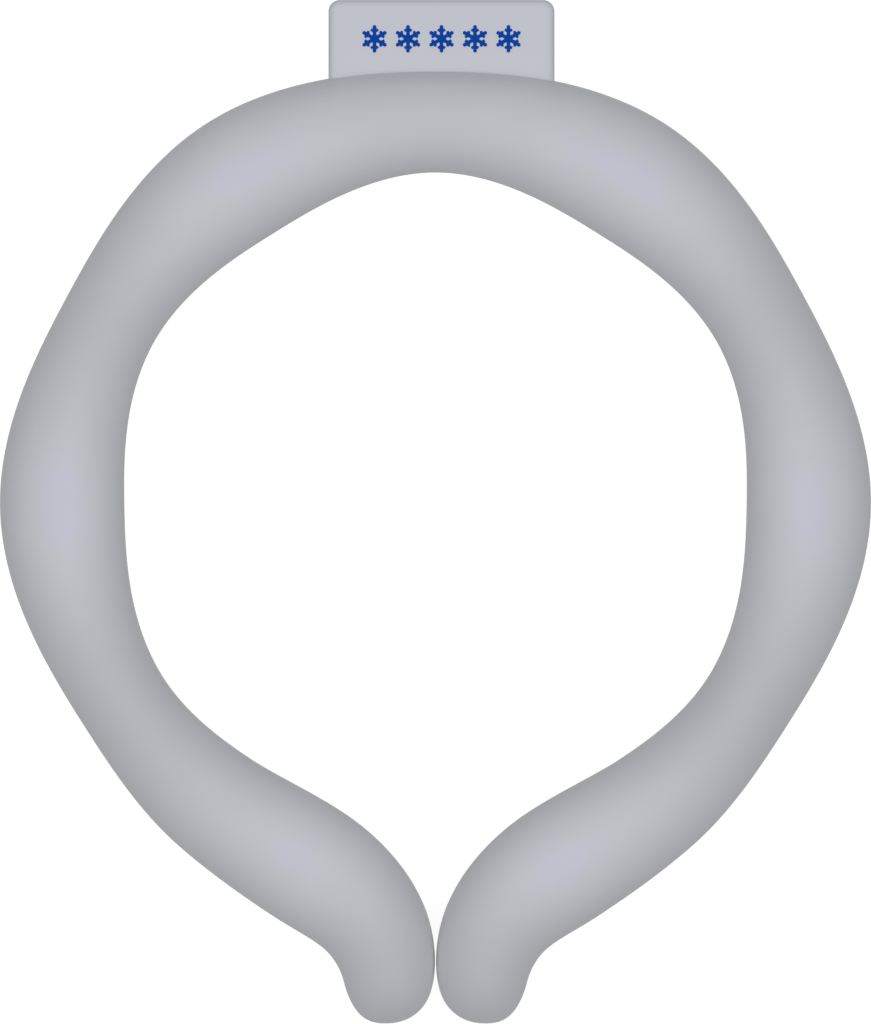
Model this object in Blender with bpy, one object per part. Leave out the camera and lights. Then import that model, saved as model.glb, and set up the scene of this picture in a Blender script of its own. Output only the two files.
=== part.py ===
"""Cooling neck ring, lying flat: a gel-filled tube in six bulges, open at the front, and a flat tab at the nape.

Metres, +Z up. The origin is under the middle of the whole, on the surface that the ring lies on.
+Y points to the back of the neck, where the tab is, and the two round ends meet at -Y.
"""

from collections import namedtuple
from math import cos, pi, radians, sin

import bmesh
import bpy
import numpy as np
from mathutils import Matrix, Vector

# The ring from outside to outside
RING_WIDTH = 0.160
RING_LENGTH = 0.175  # from the back of the tube to its two ends
END_GAP = 0.0003  # between the two ends, at their nearest

# Width of the tube seen from above
BACK_WIDTH = 0.0187
BACK_BULGE_WIDTH = 0.02365
UPPER_WAIST_WIDTH = 0.01805
SIDE_BULGE_WIDTH = 0.02285
LOWER_WAIST_WIDTH = 0.01705
FRONT_BULGE_WIDTH = 0.023
END_WAIST_WIDTH = 0.01703
TIP_WIDTH = 0.01365  # which the round cap takes to nothing
END_ROUNDING = 0.0071  # depth of the round cap
END_POWER = 0.85  # of the cap's sines and cosines: 1 is an ellipse, and less is fuller

# Height of the tube: all six bulges touch the surface that the ring lies on
BULGE_HEIGHT = 0.0227
WAIST_HEIGHT = 0.018
END_WAIST_HEIGHT = 0.0168
TIP_HEIGHT = 0.0137

# The tab, which stands out behind the tube
TAB_WIDTH = 0.0415
TAB_REACH = 0.013
TAB_THICKNESS = 0.003
TAB_CORNER = 0.0021
TAB_EDGE_ROUNDING = 0.0012
TAB_OFFSET = 0.0011  # sideways from the middle of the ring
TAB_SEAT_GAP = 0.0003  # between the tab's root and the tube

# How finely the round shapes are cut
TUBE_SIDES = 28
SECTION_SPACING = 0.0042
CAP_SECTIONS = 7
CORNER_STEPS = 5
EDGE_STEPS = 3


def between(low, high, share):
    """The size that lies that share of the way from low to high."""
    return low + share * (high - low)


# The right half of the tube, from the middle of the back to the tip of the right end.
# across is a share of the centreline's half width, along a share of its length from the back.
Station = namedtuple("Station", "across along width height")
BACK = Station(0.0, 0.0, BACK_WIDTH, WAIST_HEIGHT)
BACK_BULGE = Station(0.516, 0.0609, BACK_BULGE_WIDTH, BULGE_HEIGHT)
UPPER_WAIST = Station(0.875, 0.2225, UPPER_WAIST_WIDTH, WAIST_HEIGHT)
SIDE_BULGE = Station(1.0, 0.426, SIDE_BULGE_WIDTH, BULGE_HEIGHT)
LOWER_WAIST = Station(0.834, 0.644, LOWER_WAIST_WIDTH, WAIST_HEIGHT)
FRONT_SHOULDER = Station(
    across=0.596,
    along=0.7535,
    width=between(LOWER_WAIST_WIDTH, FRONT_BULGE_WIDTH, 0.61),
    height=between(WAIST_HEIGHT, BULGE_HEIGHT, 0.61),
)
FRONT_BULGE = Station(0.341, 0.8235, FRONT_BULGE_WIDTH, BULGE_HEIGHT)
THROAT = Station(
    across=0.163,
    along=0.8925,
    width=between(END_WAIST_WIDTH, FRONT_BULGE_WIDTH, 0.45),
    height=between(END_WAIST_HEIGHT, BULGE_HEIGHT, 0.45),
)
END_WAIST = Station(0.1275, 0.945, END_WAIST_WIDTH, END_WAIST_HEIGHT)
TIP = Station(0.136, 1.0, TIP_WIDTH, TIP_HEIGHT)
STATIONS = [
    BACK,
    BACK_BULGE,
    UPPER_WAIST,
    SIDE_BULGE,
    LOWER_WAIST,
    FRONT_SHOULDER,
    FRONT_BULGE,
    THROAT,
    END_WAIST,
    TIP,
]

# One section across the tube. sideways is the level direction across it, outwards round the ring.
Section = namedtuple("Section", "centre sideways width height")


def fair_slopes(knots, values, first, last):
    """Slopes of the cubic curve through values whose bend never jumps, with set slopes at both ends."""
    count = len(knots)
    inverse = 1 / np.diff(knots)
    rises = np.diff(values, axis=0) * inverse[:, None] ** 2
    matrix = np.eye(count)
    wanted = np.empty_like(values)
    wanted[0] = first
    wanted[-1] = last
    for i in range(1, count - 1):
        matrix[i, i - 1] = inverse[i - 1]
        matrix[i, i] = 2 * (inverse[i - 1] + inverse[i])
        matrix[i, i + 1] = inverse[i]
        wanted[i] = 3 * (rises[i - 1] + rises[i])
    return np.linalg.solve(matrix, wanted)


def level_slopes(knots, values):
    """Slopes that are level at every bulge and waist, so that no size passes those of its stations."""
    grades = np.diff(values, axis=0) / np.diff(knots)[:, None]
    products = grades[:-1] * grades[1:]
    sums = grades[:-1] + grades[1:]
    slopes = np.zeros_like(values)
    slopes[1:-1] = np.divide(2 * products, sums, out=np.zeros_like(sums), where=products > 0)
    return slopes


def curve_points(knots, values, slopes, places):
    """Points of the cubic curve through values, at places along the knots."""
    start = np.clip(np.searchsorted(knots, places, side="right") - 1, 0, len(knots) - 2)
    step = np.diff(knots)[start][:, None]
    u = (places - knots[start])[:, None] / step
    return (
        (1 + 2 * u) * (1 - u) ** 2 * values[start]
        + u * (1 - u) ** 2 * step * slopes[start]
        + (3 - 2 * u) * u**2 * values[start + 1]
        + (u - 1) * u**2 * step * slopes[start + 1]
    )


def half_tube_sections():
    """Sections of the right half, from the back to the tip, one at each station and others evenly between.

    The back of the tube is at y = 0. The last stretch is the round cap, whose sections shrink to nothing.
    """
    half_width = (RING_WIDTH - SIDE_BULGE_WIDTH) / 2
    length = RING_LENGTH - BACK_WIDTH / 2
    centres = np.array([(s.across * half_width, -BACK_WIDTH / 2 - s.along * length) for s in STATIONS])
    sizes = np.array([(s.width, s.height) for s in STATIONS])
    runs = np.linalg.norm(np.diff(centres, axis=0), axis=1)
    knots = np.concatenate([[0], np.cumsum(runs)])
    counts = np.maximum(1, np.round(runs / SECTION_SPACING)).astype(int)
    starts = [np.linspace(near, far, count, endpoint=False) for near, far, count in zip(knots, knots[1:], counts)]
    cap_start = knots[-1] - END_ROUNDING
    cap_angles = np.linspace(0, pi / 2, CAP_SECTIONS + 1)
    body = np.concatenate(starts)
    body = body[body < cap_start - SECTION_SPACING / 4]
    places = np.concatenate([body, cap_start + END_ROUNDING * np.sin(cap_angles) ** END_POWER])
    route = curve_points(knots, centres, fair_slopes(knots, centres, (1, 0), (0, -1)), places)
    spans = curve_points(knots, sizes, level_slopes(knots, sizes), places)
    spans[len(body) :] *= np.cos(cap_angles)[:, None] ** END_POWER
    headings = np.gradient(route, places, axis=0)
    headings[0] = (1, 0)
    headings[-1] = (0, -1)
    headings /= np.linalg.norm(headings, axis=1)[:, None]
    sideways = np.stack([-headings[:, 1], headings[:, 0]], axis=1)
    route[:, 0] += end_shift(knots, places, route, sideways, spans)
    return [
        Section(Vector((*centre, 0)), Vector((*across, 0)), width, height)
        for centre, across, (width, height) in zip(route, sideways, spans)
    ]


def end_shift(knots, places, route, sideways, spans):
    """How far each section moves in X, growing from the front bulge to the throat, to set END_GAP."""
    bulge = knots[STATIONS.index(FRONT_BULGE)]
    throat = knots[STATIONS.index(THROAT)]
    growth = np.clip((places - bulge) / (throat - bulge), 0, 1)
    growth = growth**2 * (3 - 2 * growth)
    inner_sides = route[:, 0] - np.abs(sideways[:, 0]) * spans[:, 0] / 2
    nearest = inner_sides[places >= throat].min()
    return growth * (END_GAP / 2 - nearest)


def section_matrix(section):
    """Turns a circle of radius 1 in the XY plane into the section."""
    forward = section.sideways.cross(Vector((0, 0, 1)))
    turn = Matrix((section.sideways, Vector((0, 0, 1)), forward)).transposed().to_4x4()
    size = Matrix.Diagonal((section.width / 2, section.height / 2, 1, 1))
    return Matrix.Translation(section.centre) @ turn @ size


def plastic(name, color, roughness):
    """A plain satin plastic."""
    material = bpy.data.materials.new(name)
    material.use_nodes = True
    shader = material.node_tree.nodes["Principled BSDF"]
    shader.inputs["Base Color"].default_value = (*color, 1)
    shader.inputs["Roughness"].default_value = roughness
    shader.inputs["Metallic"].default_value = 0
    material.diffuse_color = (*color, 1)
    return material


def add_object(name, mesh, material, parent, location):
    """Puts a finished bmesh into the scene as an object of that name."""
    data = bpy.data.meshes.new(name)
    mesh.to_mesh(data)
    mesh.free()
    data.materials.append(material)
    piece = bpy.data.objects.new(name, data)
    bpy.context.scene.collection.objects.link(piece)
    piece.parent = parent
    piece.location = location
    return piece


def build_tube(sections, parent, location):
    """The right half is bridged from its sections and closed at the tip, and mirrored to the left."""
    mesh = bmesh.new()
    rings = []
    for section in sections[:-1]:
        matrix = section_matrix(section)
        circle = bmesh.ops.create_circle(mesh, cap_ends=False, segments=TUBE_SIDES, radius=1, matrix=matrix)
        rings.append({edge for vert in circle["verts"] for edge in vert.link_edges})
    for near, far in zip(rings, rings[1:]):
        bmesh.ops.bridge_loops(mesh, edges=list(near | far))
    tip = mesh.verts.new(sections[-1].centre)
    for edge in rings[-1]:
        mesh.faces.new((*edge.verts, tip))
    bmesh.ops.recalc_face_normals(mesh, faces=mesh.faces)
    skin = plastic("tube_skin", (0.52, 0.53, 0.58), 0.45)
    tube = add_object("cooling_tube", mesh, skin, parent, location)
    mirror = tube.modifiers.new("other_half", "MIRROR")
    mirror.merge_threshold = 0.0001
    tube.data.shade_smooth()
    return tube


def outer_side(sections):
    """The tube's outer side at mid-height, as points from the left end to the right end."""
    right = [section.centre + section.sideways * section.width / 2 for section in sections]
    left = [Vector((-point.x, point.y, 0)) for point in right[:0:-1]]
    return left + right


def tab_root(sections, left, right):
    """The tab's root from left to right: the tube's outer side, moved back by the seat gap."""
    side = [point for point in outer_side(sections) if point.y > -RING_LENGTH / 2]
    xs = [point.x for point in side]
    ys = [point.y for point in side]
    inner = [point.x for point in side if left < point.x < right]
    return [Vector((x, float(np.interp(x, xs, ys)) + TAB_SEAT_GAP, 0)) for x in [left, *inner, right]]


def tab_outline(sections):
    """The root from left to right, then the two round outer corners from right to left."""
    left = TAB_OFFSET - TAB_WIDTH / 2
    right = TAB_OFFSET + TAB_WIDTH / 2
    outline = tab_root(sections, left, right)
    for corner_x, first_angle in ((right - TAB_CORNER, 0), (left + TAB_CORNER, pi / 2)):
        for step in range(CORNER_STEPS + 1):
            angle = first_angle + pi / 2 * step / CORNER_STEPS
            offset = Vector((cos(angle), sin(angle), 0)) * TAB_CORNER
            outline.append(Vector((corner_x, TAB_REACH - TAB_CORNER, 0)) + offset)
    return outline


def build_tab(sections, parent, location):
    """A flat plate of the outline's shape, with its edges rounded above and below."""
    mesh = bmesh.new()
    lower_face = mesh.faces.new([mesh.verts.new(point) for point in tab_outline(sections)])
    upper = bmesh.ops.extrude_face_region(mesh, geom=[lower_face], use_keep_orig=True)["geom"]
    upper_verts = [item for item in upper if isinstance(item, bmesh.types.BMVert)]
    bmesh.ops.translate(mesh, verts=upper_verts, vec=(0, 0, TAB_THICKNESS))
    bmesh.ops.translate(mesh, verts=mesh.verts, vec=(0, 0, -TAB_THICKNESS / 2))
    rims = [edge for edge in mesh.edges if edge.verts[0].co.z * edge.verts[1].co.z > 0]
    bmesh.ops.bevel(
        mesh,
        geom=rims,
        offset=TAB_EDGE_ROUNDING,
        segments=EDGE_STEPS,
        profile=0.5,
        affect="EDGES",
        clamp_overlap=True,
    )
    bmesh.ops.recalc_face_normals(mesh, faces=mesh.faces)
    tab = add_object("nape_tab", mesh, plastic("tab_plastic", (0.52, 0.53, 0.58), 0.45), parent, location)
    tab.data.shade_smooth()
    tab.data.set_sharp_from_angle(angle=radians(40))
    return tab


def main():
    for old in list(bpy.data.objects):
        bpy.data.objects.remove(old)
    ring = bpy.data.objects.new("neck_ring", None)
    bpy.context.scene.collection.objects.link(ring)
    back_of_tube = (0, (RING_LENGTH - TAB_REACH) / 2, BULGE_HEIGHT / 2)
    sections = half_tube_sections()
    build_tube(sections, ring, back_of_tube)
    build_tab(sections, ring, back_of_tube)


main()
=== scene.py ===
import math

import bpy
import numpy as np
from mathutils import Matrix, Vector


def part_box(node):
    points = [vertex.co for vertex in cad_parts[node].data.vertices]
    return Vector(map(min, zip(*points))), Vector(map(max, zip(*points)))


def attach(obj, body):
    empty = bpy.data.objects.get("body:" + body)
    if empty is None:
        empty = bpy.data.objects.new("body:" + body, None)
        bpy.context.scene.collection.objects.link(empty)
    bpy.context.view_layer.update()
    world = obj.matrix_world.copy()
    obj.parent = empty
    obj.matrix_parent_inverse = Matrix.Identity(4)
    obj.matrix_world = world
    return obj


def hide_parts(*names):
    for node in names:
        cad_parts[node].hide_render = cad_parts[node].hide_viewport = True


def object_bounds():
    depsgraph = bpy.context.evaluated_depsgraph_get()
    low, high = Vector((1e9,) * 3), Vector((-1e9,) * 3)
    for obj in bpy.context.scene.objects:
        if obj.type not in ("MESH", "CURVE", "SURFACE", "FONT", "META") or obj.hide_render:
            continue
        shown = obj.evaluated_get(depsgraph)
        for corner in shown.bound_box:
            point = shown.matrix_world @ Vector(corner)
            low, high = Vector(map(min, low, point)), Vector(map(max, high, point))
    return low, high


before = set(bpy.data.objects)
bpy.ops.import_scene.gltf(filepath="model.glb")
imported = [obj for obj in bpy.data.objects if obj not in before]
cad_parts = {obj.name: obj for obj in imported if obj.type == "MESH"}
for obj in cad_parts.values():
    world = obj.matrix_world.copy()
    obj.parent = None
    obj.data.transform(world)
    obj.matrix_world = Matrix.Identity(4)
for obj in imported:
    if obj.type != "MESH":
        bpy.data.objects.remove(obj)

# Cooling neck ring: a gel-filled urethane tube in six bulges, open at the front, with a printed tab
# at the nape. The frame is in metres, +Z up and +Y to the back of the neck, where the tab is.

mm = 0.001
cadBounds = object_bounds()
tubeLow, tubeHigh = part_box("cooling_tube")
tabLow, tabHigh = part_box("nape_tab")
floorHeight = cadBounds[0].z
middleHeight = (tubeLow.z + tubeHigh.z) / 2
print("frame loaded:", ", ".join(sorted(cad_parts)))

# A Mix node repeats its socket names for each kind of value, so its colour sockets go by number
mixShare, mixFrom, mixTo, mixResult = 0, 6, 7, 2


def linearColour(hexText):
    # sRGB to linear light: value / 12.92 in the darkest stretch, ((value + 0.055) / 1.055)^2.4 above it
    coded = np.array([int(hexText[k : k + 2], 16) for k in (1, 3, 5)]) / 255
    linear = np.where(coded <= 0.04045, coded / 12.92, ((coded + 0.055) / 1.055) ** 2.4)
    return (*linear.tolist(), 1.0)


def addNode(tree, kind, inputs=None, **settings):
    # an input is either a socket to link from or a value to set
    node = tree.nodes.new(kind)
    for name, value in settings.items():
        setattr(node, name, value)
    for name, value in (inputs or {}).items():
        if isinstance(value, bpy.types.NodeSocket):
            tree.links.new(value, node.inputs[name])
        else:
            node.inputs[name].default_value = value
    return node


def newMaterial(name):
    # a material with an empty node tree
    material = bpy.data.materials.new(name)
    material.use_nodes = True
    material.node_tree.nodes.clear()
    return material, material.node_tree


def fairSlopes(knots, values, first, last):
    # Slopes of the cubic through the values whose bend never jumps, with the first and last slope given.
    # At each inner knot, (twice its own slope + its neighbour's) / the span between them, added up for
    # both neighbours, equals 3 * rise / span^2, added up for the same two spans.
    inverse = 1 / np.diff(knots)
    rises = 3 * np.diff(values, axis=0) * inverse[:, None] ** 2
    matrix = np.diag(np.r_[1, 2 * (inverse[:-1] + inverse[1:]), 1])
    matrix += np.diag(np.r_[inverse[:-1], 0], -1) + np.diag(np.r_[0, inverse[1:]], 1)
    return np.linalg.solve(matrix, np.vstack([first, rises[:-1] + rises[1:], last]))


def levelSlopes(knots, values):
    # the harmonic mean of the grades on both sides, and level at both ends and where they differ in sign
    grades = np.diff(values, axis=0) / np.diff(knots)[:, None]
    product = grades[:-1] * grades[1:]
    total = grades[:-1] + grades[1:]
    slopes = np.zeros_like(values)
    slopes[1:-1] = np.divide(2 * product, total, out=np.zeros_like(total), where=product > 0)
    return slopes


def cubicThrough(knots, values, slopes, places):
    # Hermite cubic: the values and slopes at both ends of a span, weighted by the four Hermite
    # polynomials of the share of the span that is passed
    span = np.clip(np.searchsorted(knots, places, side="right") - 1, 0, len(knots) - 2)
    step = np.diff(knots)[span][:, None]
    share = (places - knots[span])[:, None] / step
    return (
        (1 + 2 * share) * (1 - share) ** 2 * values[span]
        + share * (1 - share) ** 2 * step * slopes[span]
        + (3 - 2 * share) * share**2 * values[span + 1]
        + (share - 1) * share**2 * step * slopes[span + 1]
    )


def addPiece(name, mesh, material):
    # the ring is one body, so every piece rides on its root
    mesh.materials.append(material)
    piece = bpy.data.objects.new(name, mesh)
    bpy.context.scene.collection.objects.link(piece)
    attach(piece, "root")
    return piece


def closedSkin(name, rings, firstPole, lastPole, material, attributes):
    # A grid of rings, each closed on itself, as quads, and a fan of triangles to a pole at each end.
    # Rows run along the shape and columns round it, and column direction x row direction is outwards.
    # Each attribute has a value for each point of the grid, row by row, and for the two poles.
    rows, columns, _ = rings.shape
    here = np.arange(columns)
    after = (here + 1) % columns
    base = (np.arange(rows - 1) * columns)[:, None]
    quads = np.stack([base + here, base + after, base + columns + after, base + columns + here], axis=-1)
    lastRow = (rows - 1) * columns
    firstFan = np.stack([after, here, np.full(columns, rows * columns)], axis=-1)
    lastFan = np.stack([lastRow + here, lastRow + after, np.full(columns, rows * columns + 1)], axis=-1)
    faces = quads.reshape(-1, 4).tolist() + firstFan.tolist() + lastFan.tolist()
    points = np.vstack([rings.reshape(-1, 3), firstPole, lastPole])
    mesh = bpy.data.meshes.new(name)
    mesh.from_pydata(points.tolist(), [], faces)
    for label, values in attributes.items():
        attribute = mesh.attributes.new(label, "FLOAT", "POINT")
        attribute.data.foreach_set("value", values.astype(np.float32))
    mesh.shade_smooth()
    return addPiece(name, mesh, material)


# Urethane (TPU) skin, moulded in a fine-etched steel tool and filled with gel: matte and even, with very
# faint clouds where the gel behind it is denser. A highlight is painted on it, paler towards the crest of
# each bulge and bluer where it is brightest, and the tips are painted darker. Painted light fills the
# shade in the crease where the two ends meet and where the tab leaves the tube
skinLook = {
    "waistColour": "#A0A2A7",
    "crestHighlightColour": "#ADB0B5",
    "blueHighlightColour": "#ACAEBA",
    # painted light, which fills the shade in the crease between the ends and at the tab's root
    "paintedLightColour": "#D2D3D6",
    "blueHighlightFrom": 0.86,  # the share of the crest's painted highlight at which it starts to turn bluer
    "blueHighlightTo": 0.97,
    "ior": 1.5,
    "roughness": 0.55,
    "roughnessSpread": 0.06,
    "grainSize": 0.6 * mm,  # the etching is about 0.1 mm, too fine to show, so it is drawn this coarse
    "grainDetail": 3.0,
    "grainDepth": 0.012 * mm,
    "cloudSize": 12 * mm,
    "cloudDetail": 2.0,
    "cloudShare": 0.14,  # of the way from the waist's colour to the crest's, up or down
}


def matteUrethane():
    # The colour runs from the waist's to the crest's painted highlight by the attribute that holds the
    # highlight
    # + the clouds, on to the bluer painted highlight by a smooth step of the same share, and on to the
    #   painted
    # light by the attribute that holds the painted light. The grain moves the roughness up and down by
    # its spread.
    look = skinLook
    material, tree = newMaterial("matte_moulded_urethane")
    place = addNode(tree, "ShaderNodeTexCoord").outputs["Object"]
    # the highlight painted on the crests of the bulges
    crest_highlight = addNode(tree, "ShaderNodeAttribute", attribute_name="crest_highlight").outputs["Fac"]
    cloud = addNode(
        tree,
        "ShaderNodeTexNoise",
        {"Vector": place, "Scale": 1 / look["cloudSize"], "Detail": look["cloudDetail"]},
    )
    cloudShift = addNode(
        tree,
        "ShaderNodeMapRange",
        {
            "Value": cloud.outputs["Fac"],
            "To Min": -look["cloudShare"],
            "To Max": look["cloudShare"],
        },
        clamp=False,
    )
    share = addNode(tree, "ShaderNodeMath", {0: crest_highlight, 1: cloudShift.outputs["Result"]}, operation="ADD")
    # painted highlight: from the waist's colour towards the crest's
    highlighted = addNode(
        tree,
        "ShaderNodeMix",
        {
            mixShare: share.outputs["Value"],
            mixFrom: linearColour(look["waistColour"]),
            mixTo: linearColour(look["crestHighlightColour"]),
        },
        data_type="RGBA",
        clamp_factor=False,
    )
    blueHighlightShare = addNode(
        tree,
        "ShaderNodeMapRange",
        {"Value": share.outputs["Value"], "From Min": look["blueHighlightFrom"], "From Max": look["blueHighlightTo"]},
        interpolation_type="SMOOTHSTEP",
    )
    blueHighlighted = addNode(
        tree,
        "ShaderNodeMix",
        {
            mixShare: blueHighlightShare.outputs["Result"],
            mixFrom: highlighted.outputs[mixResult],
            mixTo: linearColour(look["blueHighlightColour"]),
        },
        data_type="RGBA",
    )
    painted_light = addNode(tree, "ShaderNodeAttribute", attribute_name="painted_light").outputs["Fac"]
    colour = addNode(
        tree,
        "ShaderNodeMix",
        {
            mixShare: painted_light,
            mixFrom: blueHighlighted.outputs[mixResult],
            mixTo: linearColour(look["paintedLightColour"]),
        },
        data_type="RGBA",
    )
    grain = addNode(
        tree,
        "ShaderNodeTexNoise",
        {"Vector": place, "Scale": 1 / look["grainSize"], "Detail": look["grainDetail"]},
    )
    roughness = addNode(
        tree,
        "ShaderNodeMapRange",
        {
            "Value": grain.outputs["Fac"],
            "To Min": look["roughness"] - look["roughnessSpread"],
            "To Max": look["roughness"] + look["roughnessSpread"],
        },
    )
    relief = addNode(
        tree,
        "ShaderNodeBump",
        {"Height": grain.outputs["Fac"], "Distance": look["grainDepth"]},
    )
    shader = addNode(
        tree,
        "ShaderNodeBsdfPrincipled",
        {
            "Base Color": colour.outputs[mixResult],
            "Roughness": roughness.outputs["Result"],
            "IOR": look["ior"],
            "Normal": relief.outputs["Normal"],
        },
    )
    addNode(tree, "ShaderNodeOutputMaterial", {"Surface": shader.outputs["BSDF"]})
    return material


# The tube, from the middle of the back round to each end. Its sizes across are those of the solid
# that it replaces
tubeShape = {
    "endGap": 0.2 * mm,
    "endRounding": 7.1 * mm,
    "endPower": 0.85,  # 1 makes the round ends ellipses, and less makes them fuller
    "weldHeight": 0.1 * mm,  # the fine line at mid-height where the two moulded halves are welded
    "weldWidth": 0.4 * mm,
    "bodyRows": 300,
    "capRows": 26,
    "columns": 96,
    "crowding": 0.86,  # how much closer the columns stand at the weld line than evenly
    "gapLightShare": 1.5,  # over 1, so that all the skin where the two ends meet gets the full painted light
    "gapLightWidth": 1.0 * mm,  # from the middle of the gap, over which the painted light fades
    "gapLightSpread": 0.08,  # what that width gains for each millimetre behind the place where the ends meet
    "gapLightLength": 14 * mm,  # from the tips to that place
    "rootLightShare": 0.5,  # of the same painted light, at the tab's root
    "rootLightHeight": 2.5 * mm,  # over which it fades from mid-height, and towards the tab's sides
    # across and along are shares of the centreline's half width and length, width and height are in mm,
    # and the last is the strength of the highlight painted on the crest, from a waist to a bulge, and
    # under 0 the crest is painted darker
    "stations": {
        "back": (0.0, 0.0, 18.7, 18.0, 0.57),
        "backBulge": (0.516, 0.0609, 23.65, 22.7, 1.0),
        "upperWaist": (0.875, 0.2225, 18.05, 18.0, 0.13),
        "sideBulge": (1.0, 0.426, 22.85, 22.7, 1.0),
        "lowerWaist": (0.834, 0.644, 17.05, 18.0, 0.0),
        "frontShoulder": (0.596, 0.7535, 20.68, 20.87, 0.55),
        "frontBulge": (0.341, 0.8235, 23.0, 22.7, 0.97),
        "throat": (0.163, 0.8925, 19.72, 19.46, 0.35),
        "endWaist": (0.1275, 0.945, 17.03, 16.8, 0.0),
        "tip": (0.136, 1.0, 13.65, 13.7, -0.4),
    },
}


def halfRoute():
    # Centre, outward direction, sizes and shrink of each row of the right half, from the back to the tip.
    # The centreline is a fair cubic through the stations, which leaves the back sideways and runs to the
    # front at the tip. In the round cap a row lies at (rounding - weld height) * sin(turn)^power past the
    # cap's start, and its sizes shrink by cos(turn)^power.
    names = list(tubeShape["stations"])
    across, along, width, height, crestHighlight = np.array(list(tubeShape["stations"].values())).T
    weld = tubeShape["weldHeight"]
    rounding = tubeShape["endRounding"]
    power = tubeShape["endPower"]
    backWidth = width[0] * mm
    halfWidth = (tubeHigh.x - tubeLow.x - width[names.index("sideBulge")] * mm) / 2
    length = tubeHigh.y - tubeLow.y - backWidth / 2
    centres = np.stack([across * halfWidth, tubeHigh.y - backWidth / 2 - along * length], axis=1)
    sizes = np.stack([width * mm, height * mm, crestHighlight], axis=1)
    knots = np.r_[0, np.cumsum(np.linalg.norm(np.diff(centres, axis=0), axis=1))]
    capStart = knots[-1] - rounding
    turn = np.linspace(0, math.pi / 2, tubeShape["capRows"] + 1)
    body = np.linspace(0, capStart, tubeShape["bodyRows"], endpoint=False)
    places = np.r_[body, capStart + (rounding - weld) * np.sin(turn) ** power]
    shrink = np.r_[np.ones(len(body)), np.cos(turn) ** power][:, None]
    sideways = (1, 0)
    toFront = (0, -1)
    centre = cubicThrough(knots, centres, fairSlopes(knots, centres, sideways, toFront), places)
    spans = cubicThrough(knots, sizes, levelSlopes(knots, sizes), places)
    heading = np.gradient(centre, places, axis=0)
    heading[0] = sideways
    heading[-1] = toFront
    heading /= np.linalg.norm(heading, axis=1)[:, None]
    outward = np.stack([-heading[:, 1], heading[:, 0]], axis=1)
    # From the front bulge to the throat the route moves sideways, by a smooth step, until the two ends
    # leave the gap
    bulge = knots[names.index("frontBulge")]
    throat = knots[names.index("throat")]
    growth = np.clip((places - bulge) / (throat - bulge), 0, 1)
    innerSide = centre[:, 0] - np.abs(outward[:, 0]) * spans[:, 0] * shrink[:, 0] / 2
    shift = tubeShape["endGap"] / 2 - innerSide[places >= throat].min()
    centre[:, 0] += growth**2 * (3 - 2 * growth) * shift
    spans[:, 0] -= 2 * weld  # the weld line stands on this, and its crest is the full size
    return centre, outward, spans, shrink


def tubeRings():
    # A point is centre + outward * half width * cos(angle) + up * half height * sin(angle), and the left
    # half is the right one mirrored. The angle is even - crowding * sin(2 * even) / 2, so that columns
    # stand closer at mid-height. The highlight painted on the crest is the last column * (share of the
    # half height it rises)^2, and painted darker where that column is under 0.
    centre, outward, spans, shrink = halfRoute()
    tip = np.append(centre[-1], middleHeight)
    even = np.linspace(0, 2 * math.pi, tubeShape["columns"], endpoint=False)
    angle = even - tubeShape["crowding"] * np.sin(2 * even) / 2
    side = shrink * spans[:, :1] / 2 * np.cos(angle)
    rise = shrink * np.sin(angle)
    plan = centre[:, None] + outward[:, None] * side[..., None]
    height = middleHeight + rise * spans[:, 1:2] / 2
    right = np.dstack([plan, height])[:-1]
    crest_highlight = (spans[:, 2:] * rise**2)[:-1]
    left = right[:0:-1] * (-1, 1, 1)
    return np.vstack([left, right]), tip * (-1, 1, 1), tip, np.vstack([crest_highlight[:0:-1], crest_highlight])


def paintedLightShare(rings):
    # Painted light over the shade in the crease where the two ends meet and where the tab leaves the
    # tube.
    # In front: share * exp(-distance to the middle plane / width), at most 1, and the width grows behind
    # the place where the ends meet. At the back: share * exp(-distance over or under mid-height / height)
    # on the outer side, within the tab's width, with a smooth step to 0 at the tab's two sides.
    shape = tubeShape
    x, y, z = np.moveaxis(rings, 2, 0)
    beyond = np.maximum(y - tubeLow.y - shape["gapLightLength"], 0)
    width = shape["gapLightWidth"] + shape["gapLightSpread"] * beyond
    gapLight = shape["gapLightShare"] * np.exp(-np.abs(x) / width)
    inside = np.clip(np.minimum(tabHigh.x - x, x - tabLow.x) / shape["rootLightHeight"], 0, 1)
    rootLight = shape["rootLightShare"] * np.exp(-np.abs(z - middleHeight) / shape["rootLightHeight"])
    backWidth = shape["stations"]["back"][2] * mm
    rootLight *= inside**2 * (3 - 2 * inside) * (y > tubeHigh.y - backWidth / 2)
    return np.where(y < 0, np.minimum(gapLight, 1), rootLight)


def buildTube():
    # The weld line is the skin moved out along its normal by height * exp(-(z / (width / 4))^2 / 2), with
    # z counted from mid-height
    rings, leftTip, rightTip, crest_highlight = tubeRings()
    along = np.gradient(rings, axis=0)
    around = np.roll(rings, -1, axis=1) - np.roll(rings, 1, axis=1)
    normal = np.cross(around, along)
    normal /= np.linalg.norm(normal, axis=2)[..., None]
    fromWeld = (rings[..., 2] - middleHeight) / (tubeShape["weldWidth"] / 4)
    rings = rings + normal * (tubeShape["weldHeight"] * np.exp(-(fromWeld**2) / 2))[..., None]
    tipShift = np.array([0, -tubeShape["weldHeight"], 0])
    tube = closedSkin(
        "tube_skin",
        rings,
        leftTip + tipShift,
        rightTip + tipShift,
        matteUrethane(),
        {"crest_highlight": np.r_[crest_highlight.ravel(), 0, 0], "painted_light": np.r_[paintedLightShare(rings).ravel(), 0, 0]},
    )
    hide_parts("cooling_tube")


buildTube()
print("tube: a closed skin with a weld line at mid-height")


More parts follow.
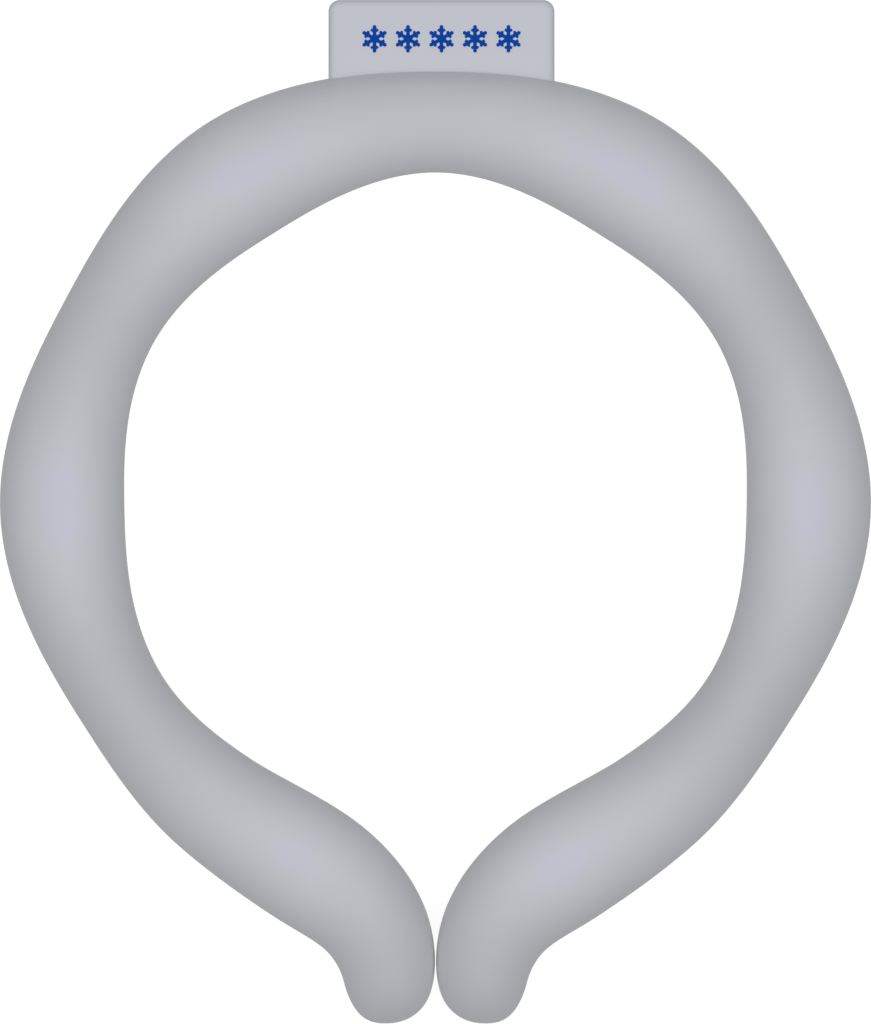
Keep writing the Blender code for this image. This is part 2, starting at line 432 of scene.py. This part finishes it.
# The same urethane moulded solid against a smoother tool face: flat, even and slightly glossier. Its
# rounded edge is painted greyer as painted shade, and painted light fills the shade where it leaves the
# tube
tabLook = {
    "faceColour": "#AEB1B9",
    "edgeShadeColour": "#96989D",
    "rootLightColour": skinLook["paintedLightColour"],
    "rootLightShare": 0.38,  # of that painted light, where the plate leaves the tube
    "rootLightDepth": 2.2 * mm,  # over which it fades
    "ior": 1.5,
    "roughness": 0.5,
    "grainSize": 0.5 * mm,  # real grain under 0.1 mm, drawn coarser to show
    "grainDetail": 2.0,
    "grainDepth": 0.006 * mm,
}


def smoothUrethane():
    # The colour runs from the face's to the edge's painted shade by the attribute edge, and on to the
    # painted light by the attribute that holds the painted light
    look = tabLook
    material, tree = newMaterial("smooth_moulded_urethane")
    place = addNode(tree, "ShaderNodeTexCoord").outputs["Object"]
    edge = addNode(tree, "ShaderNodeAttribute", attribute_name="edge").outputs["Fac"]
    grain = addNode(
        tree,
        "ShaderNodeTexNoise",
        {"Vector": place, "Scale": 1 / look["grainSize"], "Detail": look["grainDetail"]},
    )
    # the face's colour, with painted shade on the rounded edge
    moulded = addNode(
        tree,
        "ShaderNodeMix",
        {
            mixShare: edge,
            mixFrom: linearColour(look["faceColour"]),
            mixTo: linearColour(look["edgeShadeColour"]),
        },
        data_type="RGBA",
    )
    painted_light = addNode(tree, "ShaderNodeAttribute", attribute_name="painted_light").outputs["Fac"]
    colour = addNode(
        tree,
        "ShaderNodeMix",
        {
            mixShare: painted_light,
            mixFrom: moulded.outputs[mixResult],
            mixTo: linearColour(look["rootLightColour"]),
        },
        data_type="RGBA",
    )
    relief = addNode(
        tree,
        "ShaderNodeBump",
        {"Height": grain.outputs["Fac"], "Distance": look["grainDepth"]},
    )
    shader = addNode(
        tree,
        "ShaderNodeBsdfPrincipled",
        {
            "Base Color": colour.outputs[mixResult],
            "Roughness": look["roughness"],
            "IOR": look["ior"],
            "Normal": relief.outputs["Normal"],
        },
    )
    addNode(tree, "ShaderNodeOutputMaterial", {"Surface": shader.outputs["BSDF"]})
    return material


# The tab, a flat plate whose root runs into the skin of the tube
tabShape = {
    "corner": 2.1 * mm,
    "edgeRounding": 1.6 * mm,
    "edgeShadeFocus": 4,  # how closely the painted edge shade keeps to the edge's middle: the power of a cosine
    "rootDepth": 2.8 * mm,  # how far the plate goes on past the root of the solid, inside the tube
    "cornerColumns": 24,
    "sideColumns": 12,
    "edgeRows": 20,
    "faceRows": 8,
}


def roundRectangle(halfX, halfY, corner):
    # Counterclockwise from the upper end of the right side. Each corner is an arc about the rectangle's
    # corner moved in by the radius, and each straight side runs evenly between two arcs.
    arc = np.linspace(0, math.pi / 2, tabShape["cornerColumns"] + 1)
    share = np.linspace(0, 1, tabShape["sideColumns"] + 1)[1:-1, None]
    quarters = [k * math.pi / 2 + arc for k in range(4)]
    centres = [(halfX - corner, halfY - corner), (corner - halfX, halfY - corner)]
    centres += [(corner - halfX, corner - halfY), (halfX - corner, corner - halfY)]
    arcs = []
    for (x, y), angles in zip(centres, quarters):
        arcs.append(np.stack([x + corner * np.cos(angles), y + corner * np.sin(angles)], axis=1))
    sides = [near[-1] + (far[0] - near[-1]) * share for near, far in zip(arcs, arcs[1:] + arcs[:1])]
    return np.vstack([part for pair in zip(arcs, sides) for part in pair])


def rootLightShare(points):
    # Painted light over the shade where the plate leaves the tube: share * exp(-distance / depth), where
    # the distance is how far a point lies behind the tube's outer side, which is the centreline moved
    # outwards by half the width
    centre, outward, spans, _ = halfRoute()
    side = centre + outward * spans[:, :1] / 2
    back = side[: np.argmax(side[:, 0])]
    distance = points[..., 1] - np.interp(np.abs(points[..., 0]), back[:, 0], back[:, 1])
    return tabLook["rootLightShare"] * np.exp(-np.maximum(distance, 0) / tabLook["rootLightDepth"])


def buildTab():
    # The outline is drawn in by rounding * (1 - cos(turn)) at height half thickness * sin(turn), from
    # below to above, and the two faces are the outline at the end of that turn, shrunk evenly to the
    # middle. The edge is painted greyer, as painted shade, by cos(turn)^focus.
    half = np.array([tabHigh.x - tabLow.x, tabHigh.y - tabLow.y + tabShape["rootDepth"]]) / 2
    middle = np.array([(tabLow.x + tabHigh.x) / 2, tabHigh.y - half[1]])
    halfThickness = (tabHigh.z - tabLow.z) / 2
    height = (tabLow.z + tabHigh.z) / 2
    turns = np.linspace(-math.pi / 2, math.pi / 2, tabShape["edgeRows"] + 1)
    insets = tabShape["edgeRounding"] * (1 - np.cos(turns))
    outlines = [roundRectangle(*(half - inset), tabShape["corner"] - inset) for inset in insets]
    heights = halfThickness * np.sin(turns)
    edge = np.stack([np.c_[line, np.full(len(line), z)] for line, z in zip(outlines, heights)])
    shrink = np.linspace(0, 1, tabShape["faceRows"] + 1)[1:-1, None, None]
    below = edge[:1] * np.concatenate([shrink, shrink, np.ones_like(shrink)], axis=-1)
    above = edge[-1:] * np.concatenate([shrink[::-1], shrink[::-1], np.ones_like(shrink)], axis=-1)
    centre = np.array([*middle, height])
    rings = np.concatenate([below, edge, above]) + centre
    poles = centre + np.array([[0, 0, -halfThickness], [0, 0, halfThickness]])
    edgeShadeShare = np.cos(turns) ** tabShape["edgeShadeFocus"]
    edgeShadeShare = np.concatenate([np.zeros(len(below)), edgeShadeShare, np.zeros(len(above))])
    tab = closedSkin(
        "tab_plate",
        rings,
        poles[0],
        poles[1],
        smoothUrethane(),
        {
            "edge": np.r_[np.repeat(edgeShadeShare, rings.shape[1]), 0, 0],
            "painted_light": np.r_[rootLightShare(rings).ravel(), rootLightShare(poles)],
        },
    )
    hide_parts("nape_tab")


buildTab()
print("tab: a plate with round edges")


# Urethane screen-printing ink: one flat coat of blue with next to no gloss, duller than the plastic
# under it
inkLook = {
    "colour": "#023B91",
    "ior": 1.5,
    "roughness": 0.5,
    "gloss": 0.03,
    "meshPitch": 0.3 * mm,  # a screen's threads stand about 0.1 mm apart, drawn coarser to show
    "meshDetail": 1.0,
    "meshDepth": 0.004 * mm,
}


def screenInk():
    # one colour all over, with the screen's mesh as a fine relief
    look = inkLook
    material, tree = newMaterial("blue_screen_ink")
    place = addNode(tree, "ShaderNodeTexCoord").outputs["Object"]
    coat = addNode(
        tree,
        "ShaderNodeTexNoise",
        {"Vector": place, "Scale": 1 / look["meshPitch"], "Detail": look["meshDetail"]},
    )
    relief = addNode(
        tree,
        "ShaderNodeBump",
        {"Height": coat.outputs["Fac"], "Distance": look["meshDepth"]},
    )
    shader = addNode(
        tree,
        "ShaderNodeBsdfPrincipled",
        {
            "Base Color": linearColour(look["colour"]),
            "Roughness": look["roughness"],
            "IOR": look["ior"],
            "Specular IOR Level": look["gloss"],
            "Normal": relief.outputs["Normal"],
        },
    )
    addNode(tree, "ShaderNodeOutputMaterial", {"Surface": shader.outputs["BSDF"]})
    return material


# A plain row of snow crystals, printed on the face of the tab
crystalPrint = {
    "count": 5,
    "radius": 2.55 * mm,
    "rowLength": 29 * mm,
    "fromTop": 7.2 * mm,  # from the tab's outer edge to the middle of the row
    "inkThickness": 0.06 * mm,
    "inkSunk": 0.25,  # the share of the coat that lies inside the tab's face
    # the rest are shares of a crystal's radius
    "hub": 0.26,
    "hubFlare": 0.08,  # from the notch between two arms to where the arm has its own width
    "armHalfWidth": 0.13,
    "armPoint": 0.07,
    "branchRoot": 0.52,
    "branchLength": 0.3,
    "branchHalfWidth": 0.1,
}


def crystalOutline():
    # Half of one arm along +X, from the notch between two arms to the arm's point: the branch leaves the
    # arm at 60 degrees. The half is mirrored over the arm, and six turns of 60 degrees make the crystal.
    shape = crystalPrint
    armHalf = shape["armHalfWidth"]
    lean = np.array([0.5, math.sqrt(0.75)])  # the cosine and sine of 60 degrees
    across = np.array([-lean[1], lean[0]])
    root = np.array([shape["branchRoot"], 0])
    inner = root + shape["branchHalfWidth"] * across
    outer = root - shape["branchHalfWidth"] * across
    half = np.array(
        [
            (shape["hub"], shape["hub"] * math.tan(math.pi / 6)),
            (shape["hub"] + shape["hubFlare"], armHalf),
            inner + lean * (armHalf - inner[1]) / lean[1],
            inner + lean * shape["branchLength"],
            outer + lean * shape["branchLength"],
            outer + lean * (armHalf - outer[1]) / lean[1],
            (1 - shape["armPoint"], armHalf),
            (1, 0),
        ]
    )
    arm = np.vstack([half[1:] * (1, -1), half[-2::-1]])
    turn = np.arange(6) * math.pi / 3
    cosine, sine = np.cos(turn)[:, None], np.sin(turn)[:, None]
    x, y = arm[:, 0], arm[:, 1]
    return np.stack([x * cosine - y * sine, x * sine + y * cosine], axis=-1).reshape(-1, 2)


def buildPrint():
    # Each crystal is one flat face on the tab, turned so that an arm points up, and Solidify makes it a
    # coat of ink
    shape = crystalPrint
    outline = crystalOutline()[:, ::-1] * (-1, 1) * shape["radius"]
    halfCrystal = shape["radius"] * math.sqrt(0.75)  # its side arms stand 30 degrees from level
    reach = shape["rowLength"] / 2 - halfCrystal
    middle = (tabLow.x + tabHigh.x) / 2
    centres = np.linspace(middle - reach, middle + reach, shape["count"])
    flat = np.vstack([outline + (x, tabHigh.y - shape["fromTop"]) for x in centres])
    height = tabHigh.z - shape["inkThickness"] * shape["inkSunk"]
    points = np.c_[flat, np.full(len(flat), height)]
    faces = np.arange(len(points)).reshape(shape["count"], -1)
    mesh = bpy.data.meshes.new("snow_crystals")
    mesh.from_pydata(points.tolist(), [], faces.tolist())
    crystals = addPiece("snow_crystals", mesh, screenInk())
    coat = crystals.modifiers.new("ink_coat", "SOLIDIFY")
    coat.thickness = shape["inkThickness"]
    coat.offset = 1


buildPrint()
print("print: a row of snow crystals")


# Opal acrylic light table: white, with a glow of its own, so that the ground is as white as in the
# photograph
tableLook = {
    "colour": "#7F7F7F",
    "glowColour": "#FFFFFF",
    "glow": 0.85,
    "roughness": 0.6,
    "reach": 3.0,
    "gap": 0.01 * mm,  # under the object, so that the two surfaces don't meet
}


def buildFloor():
    # a flat square round the origin, as far each way as its reach
    material, tree = newMaterial("opal_acrylic_table")
    shader = addNode(
        tree,
        "ShaderNodeBsdfPrincipled",
        {
            "Base Color": linearColour(tableLook["colour"]),
            "Roughness": tableLook["roughness"],
            "Emission Color": linearColour(tableLook["glowColour"]),
            "Emission Strength": tableLook["glow"],
        },
    )
    addNode(tree, "ShaderNodeOutputMaterial", {"Surface": shader.outputs["BSDF"]})
    reach = tableLook["reach"]
    height = floorHeight - tableLook["gap"]
    corners = [(x * reach, y * reach, height) for x, y in ((-1, -1), (1, -1), (1, 1), (-1, 1))]
    mesh = bpy.data.meshes.new("floor")
    mesh.from_pydata(corners, [], [(0, 1, 2, 3)])
    mesh.materials.append(material)
    floor = bpy.data.objects.new("floor", mesh)
    # only the camera sees it, because the light from below is the world's
    floor.visible_diffuse = False
    floor.visible_glossy = False
    floor.visible_shadow = False
    bpy.context.scene.collection.objects.link(floor)


# Even light from all round, weaker from below, and one large softbox overhead, so that the top is
# brightest
studioLight = {
    "colour": "#FFFFFF",
    "above": 0.895,
    "below": 0.72,
    "horizon": 0.15,  # half the band in which one turns into the other, as a sine of the elevation
    "softboxSide": 0.4,
    "softboxHeight": 0.3,
    "softboxPower": 0.39,
}


def buildLight():
    # The world's strength goes from below to above by a smooth step of the direction's Z, over the band
    # at the horizon
    world = bpy.data.worlds.new("studio")
    world.use_nodes = True
    tree = world.node_tree
    tree.nodes.clear()
    direction = addNode(tree, "ShaderNodeTexCoord").outputs["Generated"]
    upward = addNode(tree, "ShaderNodeSeparateXYZ", {"Vector": direction}).outputs["Z"]
    strength = addNode(
        tree,
        "ShaderNodeMapRange",
        {
            "Value": upward,
            "From Min": -studioLight["horizon"],
            "From Max": studioLight["horizon"],
            "To Min": studioLight["below"],
            "To Max": studioLight["above"],
        },
        interpolation_type="SMOOTHSTEP",
    )
    sky = addNode(
        tree,
        "ShaderNodeBackground",
        {"Color": linearColour(studioLight["colour"]), "Strength": strength.outputs["Result"]},
    )
    addNode(tree, "ShaderNodeOutputWorld", {"Surface": sky.outputs["Background"]})
    bpy.context.scene.world = world
    lamp = bpy.data.lights.new("softbox", "AREA")
    lamp.shape = "SQUARE"
    lamp.size = studioLight["softboxSide"]
    lamp.energy = studioLight["softboxPower"]
    softbox = bpy.data.objects.new("softbox", lamp)
    softbox.location = (0, 0, studioLight["softboxHeight"])
    softbox.visible_camera = False
    bpy.context.scene.collection.objects.link(softbox)


# Straight down from far above, the tab at the top of the picture. The picture is 871 x 1024 pixels, the
# tube is as wide as the picture, and the object's middle lies 0.3 pixels above the picture's
photoView = {
    "columns": 871,
    "rows": 1024,
    "middleRow": 511.7,
    "distance": 2.0,
    "sensor": 36.0,
}


def buildCamera():
    # A pixel at mid-height is the tube's width / columns, and the lens is sensor * distance / (pixel *
    # rows), because the sensor lies along the picture's longer side
    view = photoView
    pixel = (tubeHigh.x - tubeLow.x) / view["columns"]
    middleY = (cadBounds[0].y + cadBounds[1].y) / 2
    data = bpy.data.cameras.new("camera")
    data.sensor_width = view["sensor"]
    data.lens = view["sensor"] * view["distance"] / (pixel * view["rows"])
    camera = bpy.data.objects.new("camera", data)
    camera.location = (
        0,
        middleY - (view["rows"] / 2 - view["middleRow"]) * pixel,
        middleHeight + view["distance"],
    )
    bpy.context.scene.collection.objects.link(camera)
    bpy.context.scene.camera = camera


bpy.context.scene.view_settings.view_transform = "Standard"
buildFloor()
buildLight()
buildCamera()
print("studio: floor, light and camera")
